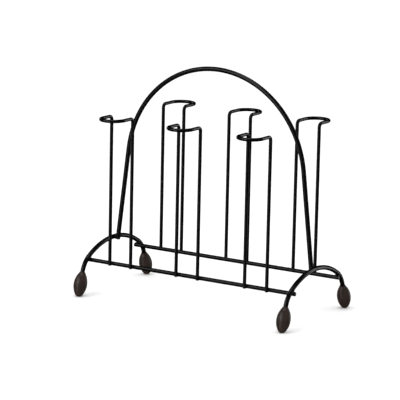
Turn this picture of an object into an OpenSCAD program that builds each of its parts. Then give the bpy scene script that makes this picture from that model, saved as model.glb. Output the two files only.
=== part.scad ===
// Wire tumbler rack. Six hairpin holders, three on each side, stand on two rails. The rails are
// welded between two arched leg wires, and one tall handle arch joins the leg wires overhead.
// A tumbler hangs upside down on each holder, with its base resting on the holder's loop.
// +X runs along the rack, the front faces -Y, and the origin is under the middle, on the table.

/* [Handle arch] */
// Height of the top of the arch above the table
arch_height = 250.5; // [230:0.5:270]
// Diameter of the arch wire
arch_wire_d = 5; // [4:0.5:6]
// Lean of the arch's straight legs from vertical, in degrees
arch_lean = 7; // [5:0.5:9]

/* [Leg wires] */
// Distance between the planes of the two leg wires
leg_span = 250; // [235:1:270]
// Diameter of the leg wires
leg_wire_d = 5; // [4:0.5:5.5]
// Height of the top of the leg wires, at their centre line
leg_rise = 54; // [51:0.5:56]
// Centre-line radius of the low arch
leg_arc_r = 90; // [82:1:100]
// Half of the low arch's angle, in degrees
leg_arc_half = 30; // [28:0.5:32]
// Straight length between the low arch and each outer bend
leg_link = 1.5; // [0.5:0.5:3]
// Splay of the feet from vertical, in degrees
leg_splay = 16; // [13:0.5:20]

/* [Rails] */
// Diameter of the rail wires
rail_wire_d = 4.4; // [4:0.1:5]
// Length of rail that stands out past the plane of each leg wire
rail_overhang = 3.1; // [0:0.1:6]
// Place of the rail on the leg wire's bend, in degrees from vertical
rail_place = 33; // [29:0.5:40]

/* [Holders] */
// Diameter of the holder wires
holder_wire_d = 3.7; // [3.4:0.1:4]
// Distance from one holder to the next along the rack
holder_pitch = 83.4; // [78:0.1:88]
// Distance between a holder's two uprights
holder_gap = 26.4; // [20:0.1:28]
// Height of the loop at the top of a holder
holder_height = 195; // [150:1:205]
// Distance of the far end of a loop from the middle of the rack
holder_reach = 78.5; // [74:0.5:90]
// Centre-line radius of the bend between upright and loop
holder_bend_r = 4; // [3:0.5:6]
// Length of upright below the centre line of the rail
holder_tail = 1.7; // [1.6:0.1:5]

/* [Feet] */
// Largest diameter of a foot
foot_d = 14.6; // [12:0.1:16]
// Length of a foot along its own axis
foot_len = 26.5; // [25.5:0.5:28]
// Distance of the widest place from the foot's tip
foot_belly = 13.3; // [12:0.1:14]
// Diameter of the mouth where the wire goes in
foot_mouth_d = 6.4; // [6:0.1:7]
// Depth of the blind hole for the wire
foot_hole_depth = 15; // [10:0.5:16]
// Height of the round tip that is cut off to give the foot its flat
foot_tip_cut = 0.3; // [0.1:0.05:0.6]

/* [Welds] */
// Diameter of a weld nugget
weld_d = 3; // [2:0.1:3]
// Gap between two wires at a weld, which the nugget fills
weld_gap = 0.15; // [0.1:0.05:0.3]

/* [Hidden] */
round_sides = 64;
bend_sides = 180;
$fn = round_sides;
front = -1;
rear = 1;
left = -1;
middle = 0;
right = 1;
coat_black = "#1c1b1a";
foot_brown = "#3a2b27";

leg_r = leg_wire_d / 2;
arch_r = arch_wire_d / 2;
rail_r = rail_wire_d / 2;
holder_r = holder_wire_d / 2;
foot_r = foot_d / 2;
mouth_r = foot_mouth_d / 2;
leg_x = leg_span / 2;

// A wire stretches round a bend and comes out a little thinner there. The straight wire reaches
// a little way into each of its bends.
bend_thinning = 0.02;
bend_lap = 0.02;

// The arch's legs lean so that each meets the inner side of a leg wire at the top of its low arch.
arch_foot_x = leg_x - (leg_r + arch_r + weld_gap) / cos(arch_lean);
arch_top_z = arch_height - arch_r;
arch_bend_r = (arch_foot_x - (arch_top_z - leg_rise) * tan(arch_lean))
    / (cos(arch_lean) - (1 - sin(arch_lean)) * tan(arch_lean));
arch_end_z = leg_rise - leg_r;
arch_leg_len = (arch_top_z - arch_bend_r * (1 - sin(arch_lean)) - arch_end_z) / cos(arch_lean);
arch_end_x = arch_bend_r * cos(arch_lean) + arch_leg_len * sin(arch_lean);

// A foot's outline is three arcs: a round tip, a side that bulges evenly above and below the
// widest place, and a hollow flare at the mouth. Each runs smoothly into the next.
flare_r = 2.5;
upper_len = foot_len - foot_belly;
upper_fall = foot_r - mouth_r;
side_arc_r = (upper_fall * upper_fall + upper_len * upper_len) / (2 * upper_fall) - flare_r;
side_centre_r = foot_r - side_arc_r;
foot_tip_r = (side_arc_r * side_arc_r - side_centre_r * side_centre_r - foot_belly * foot_belly)
    / (2 * (side_arc_r - foot_belly));
side_start_z = foot_belly - (foot_belly - foot_tip_r) * side_arc_r / (side_arc_r - foot_tip_r);
flare_start_z = foot_belly + upper_len * side_arc_r / (side_arc_r + flare_r);

// A leg wire's outer bends join the low arch to the two straight ends that hold the feet. Their
// radius brings the flat of each foot down to the table. A foot leans about its tip's centre.
foot_neck = 0.3;
foot_pivot_z = foot_tip_r - foot_tip_cut;
foot_axis_len = foot_len + foot_neck - foot_tip_r;
leg_bend_z = foot_pivot_z + foot_axis_len * cos(leg_splay);
link_end_y = leg_arc_r * sin(leg_arc_half) + leg_link * cos(leg_arc_half);
link_end_z = leg_rise - leg_arc_r * (1 - cos(leg_arc_half)) - leg_link * sin(leg_arc_half);
leg_bend_r = (link_end_z - leg_bend_z) / (cos(leg_arc_half) - sin(leg_splay));
leg_bend_angle = 90 - leg_splay - leg_arc_half;
leg_bend_y = link_end_y + leg_bend_r * (cos(leg_splay) - sin(leg_arc_half));
leg_end_len = foot_hole_depth + foot_neck;
foot_pivot_y = leg_bend_y + foot_axis_len * sin(leg_splay);

// The rails lie in the hollow side of the outer bends.
bend_centre_y = link_end_y - leg_bend_r * sin(leg_arc_half);
bend_centre_z = link_end_z - leg_bend_r * cos(leg_arc_half);
rail_from_centre = leg_bend_r - leg_r - rail_r - weld_gap;
rail_y = bend_centre_y + rail_from_centre * sin(rail_place);
rail_z = bend_centre_z + rail_from_centre * cos(rail_place);
rail_len = leg_span + 2 * rail_overhang;

// The holders stand against the outer side of the rails.
upright_y = rail_y + rail_r + weld_gap + holder_r;
upright_len = holder_height - holder_bend_r - rail_z + holder_tail;
loop_r = holder_gap / 2;
loop_run = holder_reach - loop_r - upright_y - holder_bend_r;

// A round wire as a bending machine makes it. Each step is [feed, roll, bend radius, bend angle]:
// feed a straight length along +Z, roll about it, then bend towards +X.
module bent_wire(d, steps, i = 0) {
    feed = steps[i][0];
    roll = steps[i][1];
    bend_r = steps[i][2];
    angle = steps[i][3];
    lap_below = i > 0 ? bend_lap : 0;
    lap_above = angle > 0 ? bend_lap : 0;
    translate([0, 0, -lap_below])
    cylinder(d = d, h = lap_below + feed + lap_above);
    translate([0, 0, feed])
    rotate([0, 0, roll]) {
        if (angle > 0) {
            translate([bend_r, 0, 0])
            rotate([90, 0, 180])
            rotate_extrude(angle = angle, $fn = bend_sides)
            translate([bend_r, 0])
            circle(d = d - bend_thinning, $fn = round_sides);
        }
        if (i + 1 < len(steps)) {
            translate([bend_r * (1 - cos(angle)), 0, bend_r * sin(angle)])
            rotate([0, angle, 0])
            bent_wire(d, steps, i + 1);
        }
    }
}

// Turns what is drawn for the front to the rear of the rack
module on_side(side) {
    rotate([0, 0, side == front ? 0 : 180])
    children();
}

module handle_arch() {
    color(coat_black)
    translate([-arch_end_x, 0, arch_end_z])
    rotate([0, arch_lean, 0])
    bent_wire(arch_wire_d, [
        [arch_leg_len, 0, arch_bend_r, 180 - 2 * arch_lean],
        [arch_leg_len, 0, 0, 0]
    ]);
}

module leg_wire(end) {
    start_y = leg_bend_y + leg_end_len * sin(leg_splay);
    start_z = leg_bend_z - leg_end_len * cos(leg_splay);
    color(coat_black)
    translate([end * leg_x, -start_y, start_z])
    rotate([0, 0, 90])
    rotate([0, leg_splay, 0])
    bent_wire(leg_wire_d, [
        [leg_end_len, 0, leg_bend_r, leg_bend_angle],
        [leg_link, 0, leg_arc_r, 2 * leg_arc_half],
        [leg_link, 0, leg_bend_r, leg_bend_angle],
        [leg_end_len, 0, 0, 0]
    ]);
}

module rail(side) {
    color(coat_black)
    translate([-rail_len / 2, side * rail_y, rail_z])
    rotate([0, 90, 0])
    cylinder(d = rail_wire_d, h = rail_len);
}

module holder(side, column) {
    on_side(side)
    color(coat_black)
    translate([-side * column * holder_pitch - loop_r, -upright_y, rail_z - holder_tail])
    rotate([0, 0, -90])
    bent_wire(holder_wire_d, [
        [upright_len, 0, holder_bend_r, 90],
        [loop_run, 90, loop_r, 180],
        [loop_run, -90, holder_bend_r, 90],
        [upright_len, 0, 0, 0]
    ]);
}

// Half of a foot's cross-section, with the tip at the origin and the mouth at the top
module foot_outline() {
    intersection() {
        translate([0, foot_tip_r])
        circle(r = foot_tip_r);
        square([foot_d, foot_len]);
    }
    intersection() {
        translate([side_centre_r, foot_belly])
        circle(r = side_arc_r);
        translate([0, side_start_z])
        square([foot_d, foot_len - side_start_z]);
    }
    difference() {
        translate([0, flare_start_z])
        square([mouth_r + flare_r, foot_len - flare_start_z]);
        translate([mouth_r + flare_r, foot_len])
        circle(r = flare_r);
    }
}

module foot(side, end) {
    color(foot_brown)
    difference() {
        translate([end * leg_x, side * foot_pivot_y, foot_pivot_z])
        rotate([side * leg_splay, 0, 0])
        translate([0, 0, -foot_tip_r])
        difference() {
            rotate_extrude()
            foot_outline();
            translate([0, 0, foot_len - foot_hole_depth])
            cylinder(d = leg_wire_d, h = foot_hole_depth + 1);
        }
        translate([end * leg_x - foot_d, side * foot_pivot_y - foot_d, -foot_d])
        cube([2 * foot_d, 2 * foot_d, foot_d]);
    }
}

// A nugget from the origin to the next wire, `reach` away along +Z
module nugget(reach) {
    cylinder(d = weld_d, h = reach);
}

module handle_welds() {
    color(coat_black)
    difference() {
        for (end = [left, right]) {
            translate([end * leg_x, 0, leg_rise])
            rotate([0, -end * 90, 0])
            nugget(leg_x - arch_foot_x);
        }
        handle_arch();
        leg_wire(left);
        leg_wire(right);
    }
}

module rail_welds(end) {
    color(coat_black)
    difference() {
        for (side = [front, rear]) {
            translate([end * leg_x, side * rail_y, rail_z])
            rotate([-side * rail_place, 0, 0])
            nugget(rail_r + weld_gap + leg_r);
        }
        leg_wire(end);
        rail(front);
        rail(rear);
    }
}

module holder_welds(side) {
    color(coat_black)
    difference() {
        for (column = [left, middle, right], upright = [-loop_r, loop_r]) {
            translate([column * holder_pitch + upright, side * rail_y, rail_z])
            rotate([-side * 90, 0, 0])
            nugget(upright_y - rail_y);
        }
        rail(side);
        for (column = [left, middle, right]) {
            holder(side, column);
        }
    }
}

module left_leg_wire() { leg_wire(left); }
module right_leg_wire() { leg_wire(right); }
module front_rail() { rail(front); }
module rear_rail() { rail(rear); }
module front_left_holder() { holder(front, left); }
module front_middle_holder() { holder(front, middle); }
module front_right_holder() { holder(front, right); }
module rear_left_holder() { holder(rear, left); }
module rear_middle_holder() { holder(rear, middle); }
module rear_right_holder() { holder(rear, right); }
module front_left_foot() { foot(front, left); }
module front_right_foot() { foot(front, right); }
module rear_left_foot() { foot(rear, left); }
module rear_right_foot() { foot(rear, right); }
module left_rail_welds() { rail_welds(left); }
module right_rail_welds() { rail_welds(right); }
module front_holder_welds() { holder_welds(front); }
module rear_holder_welds() { holder_welds(rear); }

handle_arch();
left_leg_wire();
right_leg_wire();
front_rail();
rear_rail();
front_left_holder();
front_middle_holder();
front_right_holder();
rear_left_holder();
rear_middle_holder();
rear_right_holder();
front_left_foot();
front_right_foot();
rear_left_foot();
rear_right_foot();
handle_welds();
left_rail_welds();
right_rail_welds();
front_holder_welds();
rear_holder_welds();
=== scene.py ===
"""Looks of the wire tumbler rack: black coated wires, their welds and the olive-shaped feet.

Everything is in metres in the frame's own axes: +X along the rack, -Y its front, +Z up.
"""

import math
import random

import bmesh
import bpy
import numpy as np
from mathutils import Matrix, Vector


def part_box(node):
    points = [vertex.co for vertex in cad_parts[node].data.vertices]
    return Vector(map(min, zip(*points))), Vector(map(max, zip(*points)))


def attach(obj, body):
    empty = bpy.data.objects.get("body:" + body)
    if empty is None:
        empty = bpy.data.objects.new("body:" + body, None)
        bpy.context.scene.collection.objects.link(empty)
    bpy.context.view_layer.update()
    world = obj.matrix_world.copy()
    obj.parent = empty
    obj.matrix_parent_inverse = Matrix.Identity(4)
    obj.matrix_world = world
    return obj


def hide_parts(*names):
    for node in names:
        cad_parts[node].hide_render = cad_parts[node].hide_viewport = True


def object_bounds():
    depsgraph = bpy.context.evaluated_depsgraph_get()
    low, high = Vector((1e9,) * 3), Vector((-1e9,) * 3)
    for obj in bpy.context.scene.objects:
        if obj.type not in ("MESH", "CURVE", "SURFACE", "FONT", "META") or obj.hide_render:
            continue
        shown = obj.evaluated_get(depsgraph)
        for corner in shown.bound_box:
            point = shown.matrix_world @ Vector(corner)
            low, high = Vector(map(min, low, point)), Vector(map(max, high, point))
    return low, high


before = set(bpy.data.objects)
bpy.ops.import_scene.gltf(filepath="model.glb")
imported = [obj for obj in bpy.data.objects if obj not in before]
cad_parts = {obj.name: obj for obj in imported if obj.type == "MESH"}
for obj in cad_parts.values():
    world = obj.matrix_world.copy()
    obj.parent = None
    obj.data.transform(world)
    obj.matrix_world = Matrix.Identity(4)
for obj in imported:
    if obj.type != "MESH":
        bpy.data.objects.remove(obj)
cad_box = [list(corner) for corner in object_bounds()]

MM = 0.001
QUARTER = math.pi / 2
FRONT, REAR = -1, 1
SIDES = {"front": FRONT, "rear": REAR}
ENDS = ("left", "right")
COLUMNS = ("left", "middle", "right")

# Bends that a node's box can't give, as the part's source has them
ARCH_LEAN = math.radians(7)
LEG_ARC_R = 90 * MM
LEG_ARC_HALF = math.radians(30)
LEG_LINK = 1.5 * MM
LEG_SPLAY = math.radians(16)
HOLDER_WIRE_R = 1.85 * MM
HOLDER_BEND_R = 4 * MM
FOOT_R = 7.3 * MM
FOOT_LEN = 26.5 * MM
FOOT_BELLY = 13.3 * MM
FOOT_MOUTH_R = 3.2 * MM
FOOT_FLARE_R = 2.5 * MM
FOOT_NECK = 0.3 * MM
FOOT_HOLE_DEPTH = 15 * MM
FOOT_TIP_CUT = 0.3 * MM

# A foot's side arc runs into the flare at its mouth and into its round tip
FOOT_UPPER = FOOT_LEN - FOOT_BELLY
FOOT_FALL = FOOT_R - FOOT_MOUTH_R
FOOT_SIDE_R = (FOOT_FALL**2 + FOOT_UPPER**2) / (2 * FOOT_FALL) - FOOT_FLARE_R
FOOT_TIP_R = (FOOT_SIDE_R**2 - (FOOT_SIDE_R - FOOT_R) ** 2 - FOOT_BELLY**2) / (
    2 * (FOOT_SIDE_R - FOOT_BELLY)
)

# How finely the meshes are cut
ARC_STEP = math.radians(3)
STRAIGHT_STEP = 12 * MM
WIRE_SIDES = 40
CAP_RINGS = 5
FOOT_SIDES = 96
TIP_CUTS, SIDE_CUTS, FLARE_CUTS, LIP_CUTS = 14, 40, 12, 5
BEAD_SUBDIVISIONS = 4

# Weld beads: the radius that blends two wires, how far the rim sinks under their surfaces, the
# furthest that a bead reaches, in radii of the thicker wire, and how uneven it is
HANDLE_FILLET = 2.6 * MM
RAIL_FILLET = 2.2 * MM
HOLDER_FILLET = 1.8 * MM
BEAD_SUNK = 0.02 * MM
BEAD_REACH = 2.1
BEAD_UNEVEN = 0.22
BEAD_WAVES, BEAD_WAVE_RATE = 5, 3.5
BEAD_SEED = 7

# How many times a bead looks for the nearest places on its two wires, steps outward from its
# middle, and halves the last step
NEAREST_ROUNDS, OUTWARD_STEPS, HALVINGS = 12, 27, 14


# ---------------------------------------------------------------------------------------------
# Materials
# ---------------------------------------------------------------------------------------------
class Shader:
    """A Principled material whose colour, roughness and bump come from patterns in 3-D."""

    def __init__(self, name):
        self.material = bpy.data.materials.new(name)
        self.material.use_nodes = True
        self.tree = self.material.node_tree
        self.surface = self.tree.nodes["Principled BSDF"]

    def node(self, kind, **settings):
        made = self.tree.nodes.new(kind)
        for key, value in settings.items():
            if key in made.inputs:
                made.inputs[key].default_value = value
            else:
                setattr(made, key, value)
        return made

    def link(self, out, into):
        self.tree.links.new(out, into)

    def place(self, attribute=None, stretch=(1, 1, 1)):
        """Where a point is, in metres: on the object, or as a mesh attribute says."""
        if attribute:
            source = self.node("ShaderNodeAttribute", attribute_name=attribute).outputs["Vector"]
        else:
            source = self.node("ShaderNodeTexCoord").outputs["Object"]
        scaled = self.node("ShaderNodeMapping", vector_type="POINT")
        scaled.inputs["Scale"].default_value = stretch
        self.link(source, scaled.inputs["Vector"])
        return scaled.outputs["Vector"]

    def noise(self, where, size, detail=3.0, roughness=0.5):
        """Noise whose lumps are about `size` metres across, from 0 to 1."""
        made = self.node("ShaderNodeTexNoise", Scale=1 / size, Detail=detail, Roughness=roughness)
        self.link(where, made.inputs["Vector"])
        return made.outputs["Fac"]

    def spread(self, value, low, high, start=0.3, end=0.7):
        """The value from start to end, carried over to low to high."""
        made = self.node("ShaderNodeMapRange")
        made.inputs["From Min"].default_value = start
        made.inputs["From Max"].default_value = end
        made.inputs["To Min"].default_value = low
        made.inputs["To Max"].default_value = high
        self.link(value, made.inputs["Value"])
        return made.outputs["Result"]

    def colour(self, value, stops):
        ramp = self.node("ShaderNodeValToRGB")
        elements = ramp.color_ramp.elements
        while len(elements) < len(stops):
            elements.new(0.5)
        for element, (at, rgb) in zip(elements, stops):
            element.position = at
            element.color = (*rgb, 1)
        self.link(value, ramp.inputs["Fac"])
        return ramp.outputs["Color"]

    def bumps(self, *layers):
        """Each layer is (height from 0 to 1, depth in metres, strength)."""
        normal = None
        for height, depth, strength in layers:
            made = self.node("ShaderNodeBump", Distance=depth, Strength=strength)
            self.link(height, made.inputs["Height"])
            if normal is not None:
                self.link(normal, made.inputs["Normal"])
            normal = made.outputs["Normal"]
        self.link(normal, self.surface.inputs["Normal"])


def black_coat():
    """Semi-gloss powder coat: near black, a little warm, with orange peel and fine grit."""
    shader = Shader("wire_coat")
    where = shader.place()
    clouds = shader.noise(where, 9 * MM, detail=2)
    peel = shader.noise(where, 1.5 * MM, detail=1)
    grit = shader.noise(where, 0.22 * MM, detail=2, roughness=0.7)
    tint = shader.colour(
        clouds, [(0.3, (0.0016, 0.0015, 0.0015)), (0.7, (0.0030, 0.0029, 0.0028))]
    )
    shader.link(tint, shader.surface.inputs["Base Color"])
    gloss = shader.spread(grit, 0.14, 0.22)
    shader.link(gloss, shader.surface.inputs["Roughness"])
    shader.surface.inputs["IOR"].default_value = 1.5
    shader.surface.inputs["Specular IOR Level"].default_value = 0.35
    shader.bumps((peel, 0.05 * MM, 0.35), (grit, 0.012 * MM, 0.3))
    return shader.material


def brown_moulding():
    """Satin dark brown of the feet, with faint streaks from tip to mouth and a fine grain."""
    shader = Shader("foot_moulding")
    along = shader.place("foot_place", stretch=(1, 1, 0.16))
    even = shader.place("foot_place")
    streaks = shader.noise(along, 1.3 * MM, detail=4, roughness=0.6)
    clouds = shader.noise(even, 7 * MM, detail=2)
    grain = shader.noise(even, 0.35 * MM, detail=3, roughness=0.65)
    mixed = shader.node("ShaderNodeMix", data_type="FLOAT")
    mixed.inputs["Factor"].default_value = 0.4
    shader.link(streaks, mixed.inputs["A"])
    shader.link(clouds, mixed.inputs["B"])
    tint = shader.colour(
        mixed.outputs["Result"],
        [
            (0.32, (0.0140, 0.0095, 0.0078)),
            (0.50, (0.0240, 0.0155, 0.0125)),
            (0.68, (0.0380, 0.0230, 0.0180)),
        ],
    )
    shader.link(tint, shader.surface.inputs["Base Color"])
    shader.link(shader.spread(grain, 0.24, 0.38), shader.surface.inputs["Roughness"])
    shader.surface.inputs["IOR"].default_value = 1.5
    shader.surface.inputs["Specular IOR Level"].default_value = 0.4
    shader.bumps((streaks, 0.06 * MM, 0.25), (grain, 0.02 * MM, 0.35))
    return shader.material


def pale_floor():
    shader = Shader("pale_floor")
    mottle = shader.noise(shader.place(), 60 * MM, detail=4)
    tint = shader.colour(mottle, [(0.3, (0.86, 0.86, 0.855)), (0.7, (0.88, 0.88, 0.88))])
    shader.link(tint, shader.surface.inputs["Base Color"])
    shader.surface.inputs["Roughness"].default_value = 0.7
    shader.surface.inputs["Specular IOR Level"].default_value = 0.2
    return shader.material


# ---------------------------------------------------------------------------------------------
# Meshes
# ---------------------------------------------------------------------------------------------
def box_of(node):
    """The lowest corner, the highest corner and the middle of a CAD node."""
    low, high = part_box(node)
    return low, high, (low + high) / 2


def mesh_object(name, vertices, faces, material):
    mesh = bpy.data.meshes.new(name)
    mesh.from_pydata([tuple(v) for v in vertices], [], faces)
    mesh.update()
    mesh.materials.append(material)
    mesh.polygons.foreach_set("use_smooth", [True] * len(mesh.polygons))
    made = bpy.data.objects.new(name, mesh)
    bpy.context.scene.collection.objects.link(made)
    return made


def stand_for(piece, slot, *nodes):
    """The piece is shown in place of these CAD nodes and rides on their body."""
    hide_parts(*nodes)
    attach(piece, "root")


def tube_faces(rings, sides):
    """Quads between rings of `sides` points each, and the two end faces."""
    faces = []
    for i in range(rings - 1):
        for k in range(sides):
            a, b = i * sides + k, i * sides + (k + 1) % sides
            faces.append((a, b, b + sides, a + sides))
    last = (rings - 1) * sides
    faces.append(tuple(reversed(range(sides))))
    faces.append(tuple(range(last, last + sides)))
    return faces


class Wire:
    """A bent round wire. Each step is (feed, roll, bend radius, bend angle): feed along +Z from
    the start, roll about it, then bend towards +X."""

    cut_edge_r = 0.5 * MM

    def __init__(self, radius, start, steps):
        self.radius = radius
        self.points, self.ways = [], []
        self.note(start)
        at = start
        for feed, roll, bend_r, angle in steps:
            count = max(1, math.ceil(feed / STRAIGHT_STEP))
            for i in range(1, count + 1):
                self.note(at @ Matrix.Translation((0, 0, feed * i / count)))
            at = at @ Matrix.Translation((0, 0, feed)) @ Matrix.Rotation(roll, 4, "Z")
            count = math.ceil(angle / ARC_STEP)
            for i in range(1, count + 1):
                self.note(at @ self.bent(bend_r, angle * i / count))
            at = at @ self.bent(bend_r, angle)

    @staticmethod
    def bent(bend_r, angle):
        out = Matrix.Translation((bend_r * (1 - math.cos(angle)), 0, bend_r * math.sin(angle)))
        return out @ Matrix.Rotation(angle, 4, "Y")

    def note(self, place):
        self.points.append(place.to_translation())
        self.ways.append((place.to_3x3() @ Vector((0, 0, 1))).normalized())

    def cap(self, end, outward):
        """Rings (centre, radius) round the edge of a cut end, from the straight wire outward."""
        rings = []
        for i in range(CAP_RINGS):
            a = QUARTER * i / (CAP_RINGS - 1)
            centre = self.points[end] - outward * self.cut_edge_r * (1 - math.sin(a))
            rings.append((centre, self.radius - self.cut_edge_r * (1 - math.cos(a))))
        return rings

    def shown(self, name, material):
        """The wire as a smooth tube with rounded edges at its cut ends."""
        first = [(c, self.ways[0], r) for c, r in self.cap(0, -self.ways[0])]
        last = [(c, self.ways[-1], r) for c, r in self.cap(-1, self.ways[-1])]
        body = [(p, w, self.radius) for p, w in zip(self.points[1:-1], self.ways[1:-1])]
        rings = first[::-1] + body + last
        side = self.ways[0].orthogonal().normalized()
        vertices, before = [], self.ways[0]
        for centre, way, radius in rings:
            side = before.rotation_difference(way) @ side
            side = (side - way * side.dot(way)).normalized()
            across, before = way.cross(side), way
            for k in range(WIRE_SIDES):
                a = 2 * math.pi * k / WIRE_SIDES
                vertices.append(centre + (side * math.cos(a) + across * math.sin(a)) * radius)
        return mesh_object(name, vertices, tube_faces(len(rings), WIRE_SIDES), material)

    def line(self):
        """The centre line as an array, carried on straight past both cut ends."""
        reach = 20 * MM
        first = self.points[0] - self.ways[0] * reach
        last = self.points[-1] + self.ways[-1] * reach
        return np.array([tuple(p) for p in (first, *self.points, last)])

    def nearest(self, point):
        """The place on the centre line nearest to a point."""
        line, p = self.line(), np.array(point)
        a, along = line[:-1], np.diff(line, axis=0)
        share = np.clip(((p - a) * along).sum(1) / (along**2).sum(1), 0, 1)
        places = a + share[:, None] * along
        return places[np.argmin(np.linalg.norm(places - p, axis=1))]

    def depth(self, points):
        """How far each point is outside the wire's surface; negative inside it."""
        line, middle = self.line(), points.mean(0)
        from_axis = np.full(len(points), np.inf)
        for a, b in zip(line[:-1], line[1:]):
            length = np.linalg.norm(b - a)
            if np.linalg.norm((a + b) / 2 - middle) > length / 2 + 20 * MM:
                continue
            share = np.clip((points - a) @ (b - a) / length**2, 0, 1)
            gap = np.linalg.norm(points - a - share[:, None] * (b - a), axis=1)
            from_axis = np.minimum(from_axis, gap)
        past_first = (points - np.array(self.points[0])) @ -np.array(self.ways[0])
        past_last = (points - np.array(self.points[-1])) @ np.array(self.ways[-1])
        out = from_axis - self.radius + self.cut_edge_r
        past = np.maximum(past_first, past_last) + self.cut_edge_r
        corner = np.hypot(np.maximum(out, 0), np.maximum(past, 0))
        return corner + np.minimum(np.maximum(out, past), 0) - self.cut_edge_r


def weld_bead(one, two, near, fillet, rng):
    """(vertices, faces) of the bead that blends two touching wires into each other. It sinks a
    hair under both surfaces where it runs out."""
    reach = BEAD_REACH * max(one.radius, two.radius)
    on_one = np.array(near)
    for _ in range(NEAREST_ROUNDS):
        on_two = two.nearest(on_one)
        on_one = one.nearest(on_two)
    apart = np.linalg.norm(on_two - on_one)
    share = (one.radius + (apart - one.radius - two.radius) / 2) / apart
    middle = on_one + (on_two - on_one) * share

    ball = bmesh.new()
    bmesh.ops.create_icosphere(ball, subdivisions=BEAD_SUBDIVISIONS, radius=1)
    rays = np.array([tuple(v.co) for v in ball.verts])
    faces = [[v.index for v in f.verts] for f in ball.faces]
    ball.free()

    rate = BEAD_WAVE_RATE
    waves = [[rng.uniform(-rate, rate) for _ in range(4)] for _ in range(BEAD_WAVES)]
    uneven = sum(np.sin(rays @ np.array(w[:3]) + w[3]) for w in waves) / len(waves)
    blend = fillet * (1 + BEAD_UNEVEN * uneven)

    def height(length):
        """How far outside the blended wires each ray's point is; negative inside them."""
        points = middle + rays * length[:, None]
        a, b = one.depth(points), two.depth(points)
        merge = np.maximum(blend - np.abs(a - b), 0) / blend
        return np.minimum(a, b) - merge**2 * blend / 4 + BEAD_SUNK

    inside, outside = np.zeros(len(rays)), np.full(len(rays), reach)
    for length in np.linspace(0, reach, OUTWARD_STEPS + 1)[1:]:
        open_air = (height(np.full(len(rays), length)) > 0) & (outside == reach)
        outside[open_air] = length
        inside = np.where(outside == reach, length, inside)
    for _ in range(HALVINGS):
        half = (inside + outside) / 2
        open_air = height(half) > 0
        outside = np.where(open_air, half, outside)
        inside = np.where(open_air, inside, half)
    return middle + rays * inside[:, None], faces


def weld_beads(name, welds, material, rng):
    """One object of several beads. Each weld is (wire, wire, place near it, fillet)."""
    vertices, faces = [], []
    for one, two, near, fillet in welds:
        more, their_faces = weld_bead(one, two, near, fillet, rng)
        faces += [[i + len(vertices) for i in face] for face in their_faces]
        vertices += list(more)
    return mesh_object(name, vertices, faces, material)


# ---------------------------------------------------------------------------------------------
# The rack's wires, sized from their nodes' boxes
# ---------------------------------------------------------------------------------------------
def handle_arch():
    low, high, _ = box_of("handle_arch")
    radius = (high.y - low.y) / 2
    end_x = high.x - radius * math.cos(ARCH_LEAN)
    end_z = low.z + radius * math.sin(ARCH_LEAN)
    rise = high.z - radius - end_z
    top_share = 1 - math.sin(ARCH_LEAN)
    width_share = math.cos(ARCH_LEAN) - top_share * math.tan(ARCH_LEAN)
    bend_r = (end_x - rise * math.tan(ARCH_LEAN)) / width_share
    leg_len = (rise - bend_r * top_share) / math.cos(ARCH_LEAN)
    start = Matrix.Translation((-end_x, 0, end_z)) @ Matrix.Rotation(ARCH_LEAN, 4, "Y")
    bend_angle = math.pi - 2 * ARCH_LEAN
    return Wire(radius, start, [(leg_len, 0, bend_r, bend_angle), (leg_len, 0, 0, 0)])


def leg_wire(node):
    low, high, middle = box_of(node)
    radius = (high.x - low.x) / 2
    link_y = LEG_ARC_R * math.sin(LEG_ARC_HALF) + LEG_LINK * math.cos(LEG_ARC_HALF)
    link_z = high.z - radius - LEG_ARC_R * (1 - math.cos(LEG_ARC_HALF))
    link_z -= LEG_LINK * math.sin(LEG_ARC_HALF)
    bend_z = FOOT_TIP_R - FOOT_TIP_CUT
    bend_z += (FOOT_LEN + FOOT_NECK - FOOT_TIP_R) * math.cos(LEG_SPLAY)
    bend_r = (link_z - bend_z) / (math.cos(LEG_ARC_HALF) - math.sin(LEG_SPLAY))
    bend_y = link_y + bend_r * (math.cos(LEG_SPLAY) - math.sin(LEG_ARC_HALF))
    bend_angle = QUARTER - LEG_SPLAY - LEG_ARC_HALF
    end_len = FOOT_HOLE_DEPTH + FOOT_NECK
    end_y = bend_y + end_len * math.sin(LEG_SPLAY)
    end_z = bend_z - end_len * math.cos(LEG_SPLAY)
    start = Matrix.Translation((middle.x, -end_y, end_z))
    start = start @ Matrix.Rotation(QUARTER, 4, "Z") @ Matrix.Rotation(LEG_SPLAY, 4, "Y")
    steps = [
        (end_len, 0, bend_r, bend_angle),
        (LEG_LINK, 0, LEG_ARC_R, 2 * LEG_ARC_HALF),
        (LEG_LINK, 0, bend_r, bend_angle),
        (end_len, 0, 0, 0),
    ]
    return Wire(radius, start, steps)


def rail(node):
    low, high, middle = box_of(node)
    start = Matrix.Translation((low.x, middle.y, middle.z)) @ Matrix.Rotation(QUARTER, 4, "Y")
    return Wire((high.z - low.z) / 2, start, [(high.x - low.x, 0, 0, 0)])


def holder(node, side):
    low, high, middle = box_of(node)
    near_y, far_y = sorted((abs(low.y), abs(high.y)))
    loop_r = (high.x - low.x) / 2 - HOLDER_WIRE_R
    upright_y = near_y + HOLDER_WIRE_R
    upright_len = high.z - HOLDER_WIRE_R - HOLDER_BEND_R - low.z
    loop_run = far_y - HOLDER_WIRE_R - loop_r - upright_y - HOLDER_BEND_R
    turned = Matrix.Rotation(0 if side == FRONT else math.pi, 4, "Z")
    place = Matrix.Translation((-side * middle.x - loop_r, -upright_y, low.z))
    start = turned @ place @ Matrix.Rotation(-QUARTER, 4, "Z")
    steps = [
        (upright_len, 0, HOLDER_BEND_R, QUARTER),
        (loop_run, QUARTER, loop_r, math.pi),
        (loop_run, -QUARTER, HOLDER_BEND_R, QUARTER),
        (upright_len, 0, 0, 0),
    ]
    return Wire(HOLDER_WIRE_R, start, steps)


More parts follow.
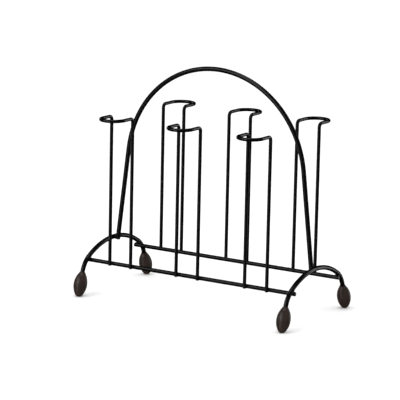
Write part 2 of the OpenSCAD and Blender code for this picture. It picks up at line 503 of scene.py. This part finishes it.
# ---------------------------------------------------------------------------------------------
# The feet
# ---------------------------------------------------------------------------------------------
def arc(centre, radius, start, end, count):
    """Points (r, z) on an arc, the start left out."""
    turns = [start + (end - start) * i / count for i in range(1, count + 1)]
    return [(centre[0] + radius * math.cos(a), centre[1] + radius * math.sin(a)) for a in turns]


def foot_outline(wire_r):
    """Half of a foot's section as (r, z), from its rounded tip up to the lip of the mouth, over
    it and down the hole round the wire."""
    lip_r, wall = 0.3 * MM, 0.02 * MM
    side_centre = (FOOT_R - FOOT_SIDE_R, FOOT_BELLY)
    tip_turn = -math.acos((FOOT_SIDE_R - FOOT_R) / (FOOT_SIDE_R - FOOT_TIP_R))
    flare_turn = math.asin(FOOT_UPPER / (FOOT_SIDE_R + FOOT_FLARE_R))
    outline = arc((0, FOOT_TIP_R), FOOT_TIP_R, -QUARTER, tip_turn, TIP_CUTS)
    outline += arc(side_centre, FOOT_SIDE_R, tip_turn, flare_turn, SIDE_CUTS)
    flare_centre = (FOOT_MOUTH_R + FOOT_FLARE_R, FOOT_LEN)
    lip_turn = math.pi + math.asin(lip_r / FOOT_FLARE_R)
    outline += arc(flare_centre, FOOT_FLARE_R, math.pi + flare_turn, lip_turn, FLARE_CUTS)
    outline += arc((FOOT_MOUTH_R - lip_r, FOOT_LEN - lip_r), lip_r, 0, QUARTER, LIP_CUTS)
    outline.append((wire_r + lip_r / 2, FOOT_LEN))
    outline.append((wire_r - wall, FOOT_LEN - lip_r))
    outline.append((wire_r - wall, FOOT_LEN - FOOT_HOLE_DEPTH))
    return outline


def foot(name, side, node, leg, material):
    """An olive-shaped foot on the end of its leg wire, with its tip cut flat where it stands."""
    _, _, middle = box_of(node)
    end = 0 if side == FRONT else -1
    down = leg.ways[end] * (-1 if side == FRONT else 1)
    tip = leg.points[end] + down * (FOOT_LEN - FOOT_HOLE_DEPTH)
    place = Matrix.Translation((middle.x, tip.y, tip.z)) @ Matrix.Rotation(side * LEG_SPLAY, 4, "X")
    outline = foot_outline(leg.radius)
    own = []
    for r, z in outline:
        for k in range(FOOT_SIDES):
            a = 2 * math.pi * k / FOOT_SIDES
            own.append(Vector((r * math.cos(a), r * math.sin(a), z)))
    vertices = [place @ v for v in own]
    for v in vertices:
        v.z = max(v.z, 0)
    made = mesh_object(name, vertices, tube_faces(len(outline), FOOT_SIDES), material)
    where = made.data.attributes.new("foot_place", "FLOAT_VECTOR", "POINT")
    where.data.foreach_set("vector", [x for v in own for x in v])
    return made


# ---------------------------------------------------------------------------------------------
# The rack
# ---------------------------------------------------------------------------------------------
def build_rack():
    coat, moulding = black_coat(), brown_moulding()
    rng = random.Random(BEAD_SEED)
    wires = {"handle_arch": handle_arch()}
    for end in ENDS:
        wires[f"{end}_leg_wire"] = leg_wire(f"{end}_leg_wire")
    for side_name, side in SIDES.items():
        wires[f"{side_name}_rail"] = rail(f"{side_name}_rail")
        for column in COLUMNS:
            node = f"{side_name}_{column}_holder"
            wires[node] = holder(node, side)
    for node, wire in wires.items():
        stand_for(wire.shown(f"{node}_coated", coat), "wire_coat", node)

    arch = wires["handle_arch"]
    at_legs = []
    for end in ENDS:
        leg = wires[f"{end}_leg_wire"]
        _, high, middle = box_of(f"{end}_leg_wire")
        at_legs.append((arch, leg, (middle.x, 0, high.z - leg.radius), HANDLE_FILLET))
        at_rails = []
        for side_name in SIDES:
            side_rail = wires[f"{side_name}_rail"]
            _, _, on_rail = box_of(f"{side_name}_rail")
            at_rails.append((side_rail, leg, (middle.x, on_rail.y, on_rail.z), RAIL_FILLET))
        beads = weld_beads(f"{end}_rail_weld_beads", at_rails, coat, rng)
        stand_for(beads, "wire_coat", f"{end}_rail_welds")
    beads = weld_beads("handle_weld_beads", at_legs, coat, rng)
    stand_for(beads, "wire_coat", "handle_welds")

    for side_name in SIDES:
        side_rail = wires[f"{side_name}_rail"]
        _, _, on_rail = box_of(f"{side_name}_rail")
        welds = []
        for column in COLUMNS:
            node = f"{side_name}_{column}_holder"
            low, high, _ = box_of(node)
            for x in (low.x + HOLDER_WIRE_R, high.x - HOLDER_WIRE_R):
                welds.append((side_rail, wires[node], (x, on_rail.y, on_rail.z), HOLDER_FILLET))
        beads = weld_beads(f"{side_name}_holder_weld_beads", welds, coat, rng)
        stand_for(beads, "wire_coat", f"{side_name}_holder_welds")

    for side_name, side in SIDES.items():
        for end in ENDS:
            node = f"{side_name}_{end}_foot"
            leg = wires[f"{end}_leg_wire"]
            made = foot(f"{node}_moulding", side, node, leg, moulding)
            stand_for(made, "foot_moulding", node)


# ---------------------------------------------------------------------------------------------
# Floor, light and camera
# ---------------------------------------------------------------------------------------------
CAMERA_AZIMUTH = math.radians(32.27)
CAMERA_ELEVATION = math.radians(11.67)
CAMERA_ROLL = math.radians(1.23)
CAMERA_DISTANCE = 2.553
CAMERA_LENS = 219.9
CAMERA_SENSOR = 36
CAMERA_NEAR, CAMERA_FAR = 0.1, 100
AIM_RIGHT = -0.01435
AIM_UP = -0.01505

FLOOR_REACH = 12
TENT_STRENGTH = 1.2

# Each softbox: its azimuth from the camera's and its elevation, in degrees, its distance, width
# and height, and its brightness. An upright wire mirrors what is a little below level, so the tall
# ones reach below the rack.
SOFTBOXES = {
    "key": (-60, 27, 2.2, 1.9, 1.2, 2.0),
    "right": (114, 8, 1.8, 0.35, 2.2, 2.1),
    "front": (-46, -6, 3.6, 1.6, 3.4, 1.0),
    "top": (-60, 84, 2.0, 0.9, 0.9, 2.6),
    "back": (-150, -5, 3.4, 0.9, 3.2, 1.3),
}


def direction(azimuth, elevation):
    """From the rack towards a place round it; azimuth 0 is in front of it, 90 to its right."""
    flat = math.cos(elevation)
    return Vector((math.sin(azimuth) * flat, -math.cos(azimuth) * flat, math.sin(elevation)))


def floor_plane():
    """The floor, which the rack doesn't mirror and the lights shine through from below."""
    reach, level = FLOOR_REACH, cad_box[0][2]
    corners = [(x * reach, y * reach, level) for x, y in ((-1, -1), (1, -1), (1, 1), (-1, 1))]
    made = mesh_object("floor", corners, [(0, 1, 2, 3)], pale_floor())
    made.visible_glossy = False
    made.visible_shadow = False


def softbox(name, azimuth, elevation, distance, width, height, radiance):
    """A soft light of even brightness that faces the rack."""
    low, high = Vector(cad_box[0]), Vector(cad_box[1])
    towards = direction(CAMERA_AZIMUTH + math.radians(azimuth), math.radians(elevation))
    light = bpy.data.lights.new(name, "AREA")
    light.shape = "RECTANGLE"
    light.size, light.size_y = width, height
    light.energy = radiance * width * height * math.pi
    made = bpy.data.objects.new(name, light)
    bpy.context.scene.collection.objects.link(made)
    made.location = (low + high) / 2 + towards * distance
    made.rotation_mode = "QUATERNION"
    made.rotation_quaternion = (-towards).to_track_quat("-Z", "Y")


def studio():
    """A white tent lights the floor evenly. The rack mirrors the softboxes, and not the tent."""
    floor_plane()
    world = bpy.data.worlds.new("studio")
    bpy.context.scene.world = world
    world.use_nodes = True
    tent = world.node_tree.nodes["Background"]
    tent.inputs["Color"].default_value = (1, 1, 1, 1)
    tent.inputs["Strength"].default_value = TENT_STRENGTH
    world.cycles_visibility.glossy = False
    for name, settings in SOFTBOXES.items():
        softbox(name, *settings)
    bpy.context.scene.view_settings.view_transform = "Standard"


def camera():
    low, high = Vector(cad_box[0]), Vector(cad_box[1])
    back = direction(CAMERA_AZIMUTH, CAMERA_ELEVATION)
    level = Vector((math.cos(CAMERA_AZIMUTH), math.sin(CAMERA_AZIMUTH), 0))
    upright = back.cross(level)
    right = level * math.cos(CAMERA_ROLL) + upright * math.sin(CAMERA_ROLL)
    up = upright * math.cos(CAMERA_ROLL) - level * math.sin(CAMERA_ROLL)
    data = bpy.data.cameras.new("camera")
    data.lens = CAMERA_LENS
    data.sensor_width = CAMERA_SENSOR
    data.clip_start, data.clip_end = CAMERA_NEAR, CAMERA_FAR
    made = bpy.data.objects.new("camera", data)
    bpy.context.scene.collection.objects.link(made)
    place = (low + high) / 2 + right * AIM_RIGHT + up * AIM_UP + back * CAMERA_DISTANCE
    turn = Matrix((right, up, back)).transposed().to_4x4()
    made.matrix_world = Matrix.Translation(place) @ turn
    bpy.context.scene.camera = made


build_rack()
studio()
camera()
